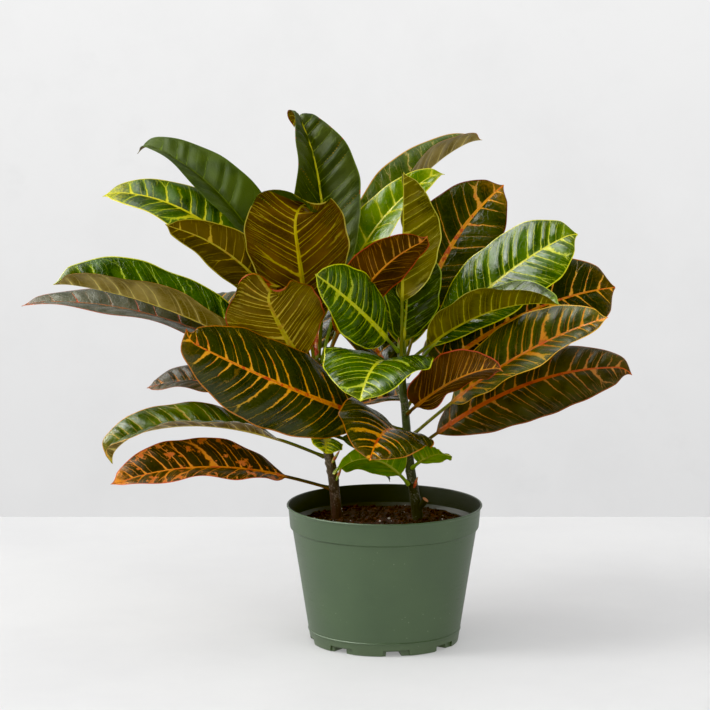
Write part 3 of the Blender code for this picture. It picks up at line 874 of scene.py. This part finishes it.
def pot_profile():
    """The wall's outline from the middle of the inside floor, over the rim, to the foot."""
    collar = RIM_RADIUS - LIP
    shelf = COLLAR_FOOT + 1.0
    floor = 5.6
    corner = 8.0
    rim = 0.75
    return [
        (0.0, floor),
        (BASE_RADIUS - 4.0, floor),
        (pot_radius(corner) - WALL, corner),
        (pot_radius(COLLAR_FOOT) - WALL, shelf),
        (collar - WALL, shelf + 3.0),
        (RIM_RADIUS - WALL - 0.4, POT_HEIGHT - 3.0),
        *arc((RIM_RADIUS - WALL + rim, POT_HEIGHT - rim), rim, 180.0, 90.0),
        *arc((RIM_RADIUS - rim, POT_HEIGHT - rim), rim, 90.0, -30.0),
        (collar + 0.25, POT_HEIGHT - 2.2),
        (collar, POT_HEIGHT - 3.0),
        (collar - 1.2, COLLAR_FOOT + 1.6),
        *arc((collar - 2.2, COLLAR_FOOT + 1.0), 0.9, 0.0, -80.0),
        *arc((pot_radius(COLLAR_FOOT) + 0.8, COLLAR_FOOT - 1.2), 0.8, 110.0, 180.0),
        (pot_radius(60.0), 60.0),
        (pot_radius(12.0), 12.0),
        *arc((pot_radius(10.0) - 0.3, 10.0), 0.8, 70.0, -70.0),
        (pot_radius(8.6), 8.6),
        (pot_radius(1.2), 1.2),
        *arc((BASE_RADIUS - 0.8, 0.8), 0.8, 0.0, -90.0),
        (0.0, 0.0),
    ]


def make_pot():
    """The wall turned from its outline, with drain notches cut through the foot."""
    shape = bmesh.new()
    points = [shape.verts.new((radius * MM, 0.0, height * MM)) for radius, height in pot_profile()]
    for start, end in zip(points, points[1:]):
        shape.edges.new((start, end))
    pot = placed("nursery_pot", mesh_of("nursery_pot", shape))
    screw = pot.modifiers.new("turn", "SCREW")
    screw.steps = POT_SIDES
    screw.render_steps = POT_SIDES
    screw.use_merge_vertices = True
    screw.merge_threshold = 0.01 * MM
    cutters = []
    for number in range(NOTCHES):
        angle = math.radians(NOTCH_PHASE - 90.0 + number * 360.0 / NOTCHES)
        cutters.append(notch(angle, 23.5, BASE_RADIUS - 2.2, 4.9, 0.0))
        cutters.append(notch(angle, 13.0, 32.0, 3.5, -2.0))
    for cutter in cutters:
        cut = pot.modifiers.new("notch", "BOOLEAN")
        cut.object = cutter
    apply_modifiers(pot)
    for cutter in cutters:
        bpy.data.objects.remove(cutter, do_unlink=True)
    pot.data.materials.append(pot_material())
    pot.data.shade_smooth()
    pot.data.set_sharp_from_angle(angle=math.radians(32.0))
    ride(pot, "pot")


def notch(angle, width, inner, height, shift):
    """A block with sloping sides across the foot of the wall, from an inner radius outwards."""
    shape = bmesh.new()
    depth = BASE_RADIUS + 4.0 - inner
    block = Matrix.Diagonal((depth, width, 2.0 * height, 1.0))
    bmesh.ops.create_cube(shape, size=1.0, matrix=block)
    for vertex in shape.verts:
        if vertex.co.z > 0.0:
            vertex.co.y *= 0.86
        vertex.co.x += inner + 0.5 * depth
        vertex.co.y += shift
    cutter = placed("notch", mesh_of("notch", shape))
    cutter.rotation_euler = (0.0, 0.0, angle)
    cutter.scale = (MM, MM, MM)
    return cutter


def soil_height(x, y):
    """Height of the crumbly soil surface in millimetres, with mounds round both stems."""
    rough = noise.fractal(Vector((x, y, 0.0)) * 0.14, 1.0, 2.0, 4)
    lumps = noise.noise(Vector((x, y, 9.0)) * 0.05)
    height = SOIL_TOP + CRUST + SOIL_ROUGHNESS * (0.6 * rough + 0.5 * lumps)
    for points in STEMS.values():
        foot_x, foot_y = points[1][:2]
        height += MOUND * math.exp(-((x - foot_x) ** 2 + (y - foot_y) ** 2) / 90.0)
    return height


def make_soil():
    """A crumbly top over the packed soil, and loose crumbs and perlite lying on it."""
    soil = soil_material()
    node = bpy.data.objects["soil"]
    node.data.materials.clear()
    node.data.materials.append(soil)
    vertices = [(0.0, 0.0, soil_height(0.0, 0.0) * MM)]
    for ring in range(1, SOIL_RINGS + 1):
        radius = SOIL_RADIUS * ring / SOIL_RINGS
        for step in range(SOIL_SIDES):
            angle = 2.0 * math.pi * (step + 0.5 * (ring % 2)) / SOIL_SIDES
            x, y = radius * math.cos(angle), radius * math.sin(angle)
            vertices.append((x * MM, y * MM, soil_height(x, y) * MM))
    edge = vertices[-SOIL_SIDES:]
    vertices += [(x, y, (SOIL_TOP - CRUST_SKIRT) * MM) for x, y, _ in edge]
    index = closed_rings(np.arange(1, len(vertices)).reshape(SOIL_RINGS + 1, SOIL_SIDES))
    faces = quads(index)
    faces += [[0, int(a), int(b)] for a, b in zip(index[0], index[0, 1:])]
    faces.append([int(i) for i in index[-1, -2::-1]])
    new_piece("soil_crust", vertices, faces, [soil], "potting_soil")

    generator = np.random.default_rng(5)
    scatter("soil_crumbs", generator, CRUMBS, (0.5, 2.1), 1, soil)
    scatter("perlite_grains", generator, PERLITE, (0.4, 1.1), 2, perlite_material())


def scatter(name, generator, number, sizes, detail, material):
    """Small lumps of uneven shape, seated in the soil's surface."""
    shape = bmesh.new()
    for _ in range(number):
        radius = (SOIL_RADIUS - 2.0) * math.sqrt(generator.random())
        angle = generator.uniform(0.0, 2.0 * math.pi)
        x, y = radius * math.cos(angle), radius * math.sin(angle)
        size = generator.uniform(0.0, 1.0) ** 2 * (sizes[1] - sizes[0]) + sizes[0]
        tumble = generator.uniform(0.0, math.pi)
        turn = Matrix.Rotation(tumble, 4, generator.normal(size=3).tolist())
        stretch = Matrix.Diagonal((*(size * MM * generator.uniform(0.6, 1.25, size=3)), 1.0))
        middle = Vector((x, y, soil_height(x, y) + 0.15 * size)) * MM
        matrix = Matrix.Translation(middle) @ turn @ stretch
        made = bmesh.ops.create_icosphere(shape, subdivisions=detail, radius=1.0, matrix=matrix)
        for vertex in made["verts"]:
            push = 1.0 + 0.35 * noise.noise(vertex.co * 900.0)
            vertex.co = middle + (vertex.co - middle) * push
    smooth_piece(name, mesh_of(name, shape), [material])


def curve_points(points, rows):
    """A smooth line through (x, y, height, radius) points, with the given number of rows."""
    points = np.array(points, dtype=float)
    heights = np.linspace(points[0, 2], points[-1, 2], rows)
    columns = []
    for column in (0, 1, 3):
        below, here, above = [
            np.interp(heights + shift, points[:, 2], points[:, column])
            for shift in (-STEM_SMOOTHING, 0.0, STEM_SMOOTHING)
        ]
        columns.append((below + 2.0 * here + above) / 4.0)
    return triple(columns[0], columns[1], heights), columns[2]


def make_stem(name, bark, seed):
    """A stem with leaf sockets, old leaf scars and a tapered growing tip."""
    centres, radii = curve_points(STEMS[name], STEM_ROWS)
    heights = centres[:, 2]
    angles = np.linspace(0.0, 2.0 * math.pi, STEM_SIDES, endpoint=False)
    swell = np.zeros((STEM_ROWS, STEM_SIDES))
    own = [leaf for leaf in LEAVES if leaf.name.startswith(name)]
    sockets = [(leaf.height, math.radians(leaf.heading)) for leaf in own]
    generator = np.random.default_rng(seed)
    levels = np.arange(98.0, 222.0, 6.5)
    scars = [(height, generator.uniform(0.0, 2.0 * math.pi)) for height in levels]
    for height, angle in sockets + scars:
        turn = np.angle(np.exp(1j * (angles - angle)))
        spread = np.exp(-((turn / 0.55) ** 2))[None, :]
        swell += 0.85 * np.exp(-(((heights - height) / 2.0) ** 2))[:, None] * spread
        swell -= 0.35 * np.exp(-(((heights - height - 2.6) / 1.0) ** 2))[:, None] * spread
    ridges = 0.12 * np.sin(5.0 * angles[None, :] + heights[:, None] * 0.11)
    tip = 1.0 - 0.92 * ramp(heights, heights[-1] - 7.0, heights[-1])
    reach = (radii[:, None] + np.clip(swell, -0.4, 1.1) + ridges) * tip[:, None]
    ring = triple(np.cos(angles), np.sin(angles), 0.0 * angles)
    vertices = (centres[:, None, :] + ring[None] * reach[..., None]) * MM
    vertices = vertices.reshape(-1, 3).tolist()
    faces = tube_faces(STEM_ROWS, STEM_SIDES)
    new_piece("bark_" + name, vertices, faces, [bark], "bark", "stem_" + name)


def spindle(name, start, end, radius, material, flat=1.0):
    """A small pointed body between two points in millimetres: a bud or a leaf scale."""
    start, end = Vector(start), Vector(end)
    shape = bmesh.new()
    bmesh.ops.create_uvsphere(shape, u_segments=16, v_segments=12, radius=1.0)
    length = (end - start).length
    for vertex in shape.verts:
        along = 0.5 + 0.5 * vertex.co.z
        girth = radius * (1.0 - 0.55 * along)
        vertex.co = Vector((vertex.co.x * girth, vertex.co.y * girth * flat, along * length))
    turn = (end - start).to_track_quat("Z", "Y").to_matrix().to_4x4()
    shape.transform(Matrix.Scale(MM, 4) @ Matrix.Translation(start) @ turn)
    smooth_piece(name, mesh_of(name, shape), [material])


def make_stub(bark, wood):
    """The pruned shoot on the right stem, with its cut face."""
    foot, head = (Vector(point) for point in STUB)
    turn = (head - foot).normalized().to_track_quat("Z", "Y").to_matrix()
    length = (head - foot).length
    vertices = []
    for row in range(STUB_ROWS):
        part = row / (STUB_ROWS - 1)
        radius = STUB_RADIUS + 0.7 * part - 0.25 * (part == 1.0)
        for step in range(STUB_SIDES):
            angle = 2.0 * math.pi * step / STUB_SIDES
            offset = Vector((radius * math.cos(angle), radius * math.sin(angle), part * length))
            vertices.append((foot + turn @ offset) * MM)
    faces = tube_faces(STUB_ROWS, STUB_SIDES)
    piece = new_piece("pruned_stub", vertices, faces, [bark, wood], "bark")
    piece.data.polygons[-1].material_index = 1
    piece.data.set_sharp_from_angle(angle=math.radians(40.0))


def make_buds():
    """Side shoots low on both stems, and the folded scales at the top of each."""
    bud = bud_material()
    spindle("side_bud_1", (-37.5, 10.8, 124), (-33.0, 7.0, 137), 1.5, bud)
    spindle("side_bud_2", (-41.0, 10.2, 138), (-34.8, 6.0, 149), 1.7, bud)
    spindle("side_bud_3", (22.8, 10.6, 118), (26.0, 7.5, 128), 1.4, bud)
    for name, points in STEMS.items():
        x, y, height, radius = points[-1]
        for number in range(3):
            angle = 2.1 * number + 0.5
            lean = Vector((math.cos(angle), math.sin(angle), 0.0))
            start = Vector((x, y, height - 5.0)) + lean * radius * 0.4
            end = Vector((x, y, height + 9.0 - 2.0 * number)) + lean * 1.6
            spindle(f"{name}_tip_scale_{number + 1}", start, end, 1.7, bud, 0.6)


def make_floor():
    """A pale floor that ends behind the pot, where the wall begins."""
    shape = bmesh.new()
    bmesh.ops.create_grid(shape, x_segments=1, y_segments=1, size=1.0)
    for vertex in shape.verts:
        vertex.co.x *= 6.0
        vertex.co.y = 0.45 if vertex.co.y > 0.0 else -6.0
    floor = placed("floor", mesh_of("floor", shape))
    floor.location.z = -0.0003
    material, shader = new_shader("pale_floor")
    slow = shader.clouds(shader.here(), 3.0, 5.0, 0.6)
    fine = shader.clouds(shader.here(), 60.0, 4.0, 0.6)
    paint = shader.mix(ramp(slow + 0.1 * fine, 0.35, 0.75), colour("b1b1b1"), colour("bbbbba"))
    normal = shader.bump(slow + 0.3 * fine, 0.3 * MM)
    glow = {"Emission_Color": (1.0, 1.0, 1.0, 1.0), "Emission_Strength": 0.26}
    shader.show(shader.principled(paint, 0.62 + 0.1 * fine, normal, **glow))
    floor.data.materials.append(material)


def make_softbox(name, place, size, power):
    """An area light aimed at the plant's middle."""
    data = bpy.data.lights.new(name, "AREA")
    data.shape = "RECTANGLE"
    data.size, data.size_y = size
    data.energy = power
    light = placed(name, data)
    light.location = place
    aim = Vector((0.0, 0.0, 0.2)) - Vector(place)
    light.rotation_euler = aim.to_track_quat("-Z", "Y").to_euler()


def make_studio():
    """A pale wall ahead and a dim room behind, with a softbox at the left and one overhead.

    The camera sees the wall with faint smudges, and with painted light that makes it brighter higher up
    and towards the left. The pieces reflect the room, with a bright window high on the left, and are
    lit by an even fill that is stronger from behind the camera.
    """
    world = bpy.data.worlds.new("studio")
    world.use_nodes = True
    shader = Shader(world.node_tree)
    place = shader.add("ShaderNodeTexCoord", {}, {}, "Generated")
    slow = shader.clouds(place, 38.0, 6.0, 0.66)
    east, north, up = shader.parts(place)
    smudge = ramp(slow, 0.52, 0.7) * ramp(shader.clouds(place, 14.0, 2.0), 0.45, 0.6)
    # Painted light: the wall the camera sees is made brighter higher up and towards the left. The
    # smudges and the mottling from slow are the plaster's own.
    mottling_and_painted_light = 1.36 + 5.1 * up - 0.6 * east + 0.4 * (slow - 0.5) - 0.18 * smudge
    wall = shader.mix(mottling_and_painted_light, (0.66, 0.66, 0.665, 1.0), (0.92, 0.92, 0.92, 1.0))
    ahead = ramp(north, -0.2, 0.8)
    behind = 1.0 - ramp(north, -0.95, -0.1)
    fill = shader.mix(behind, (0.6, 0.6, 0.61, 1.0), (1.58, 1.58, 1.59, 1.0))
    room = shader.mix(ahead, (0.04, 0.04, 0.04, 1.0), (0.85, 0.85, 0.86, 1.0))
    window = ramp(-1.0 * east, 0.27, 0.33) * (1.0 - ramp(abs(north), 0.5, 0.56))
    room = shader.mix(window * ramp(up, 0.4, 0.46), room, (9.0, 9.0, 8.9, 1.0))
    seen, soft, mirrored = [
        shader.add("ShaderNodeBackground", {}, {"Color": light, "Strength": 1.0})
        for light in (wall, fill, room)
    ]
    rays = shader.add("ShaderNodeLightPath", {}, {}, "Is Camera Ray")
    glossy = Value(shader, rays.socket.node.outputs["Is Glossy Ray"])
    shown = shader.add("ShaderNodeMixShader", {}, {0: glossy, 1: soft, 2: mirrored})
    shown = shader.add("ShaderNodeMixShader", {}, {0: rays, 1: shown, 2: seen})
    shader.add("ShaderNodeOutputWorld", {}, {"Surface": shown})
    bpy.context.scene.world = world
    make_softbox("key", (-2.9, -0.75, 2.6), (1.4, 1.4), 74.0)
    make_softbox("overhead", (-0.5, 0.4, 2.7), (1.4, 1.2), 6.0)


def make_camera():
    """A long lens a little above the plant, looking slightly down."""
    data = bpy.data.cameras.new("camera")
    data.sensor_width = 36.0
    data.lens = 228.2
    data.clip_start = 0.1
    data.clip_end = 20.0
    camera = placed("camera", data)
    camera.location = (-0.0229, -3.42, 0.842)
    camera.rotation_euler = (math.radians(79.78), 0.0, 0.0)
    bpy.context.scene.camera = camera


def make_view():
    """A plain view that deepens the darkest tones a little."""
    view = bpy.context.scene.view_settings
    view.view_transform = "Standard"
    view.use_curve_mapping = True
    view.curve_mapping.black_level = (0.004, 0.004, 0.008)


TOP_MATERIALS = {
    name: leaf_material("leaf_top_" + name, finish, False) for name, finish in TOPS.items()
}
UNDER_MATERIALS = {
    name: leaf_material("leaf_under_" + name, finish, True) for name, finish in UNDERS.items()
}

make_pot()
make_soil()
left_bark = bark_material("bark_left", "3c2018", "4a4a1c", "6a5a48")
right_bark = bark_material("bark_right", "2c2a15", "3f4c1b", "6a6650")
make_stem("left", left_bark, 3)
make_stem("right", right_bark, 8)
make_stub(right_bark, wood_material())
make_buds()
for number, leaf in enumerate(LEAVES):
    make_leaf(number, leaf)
make_floor()
make_studio()
make_camera()
make_view()
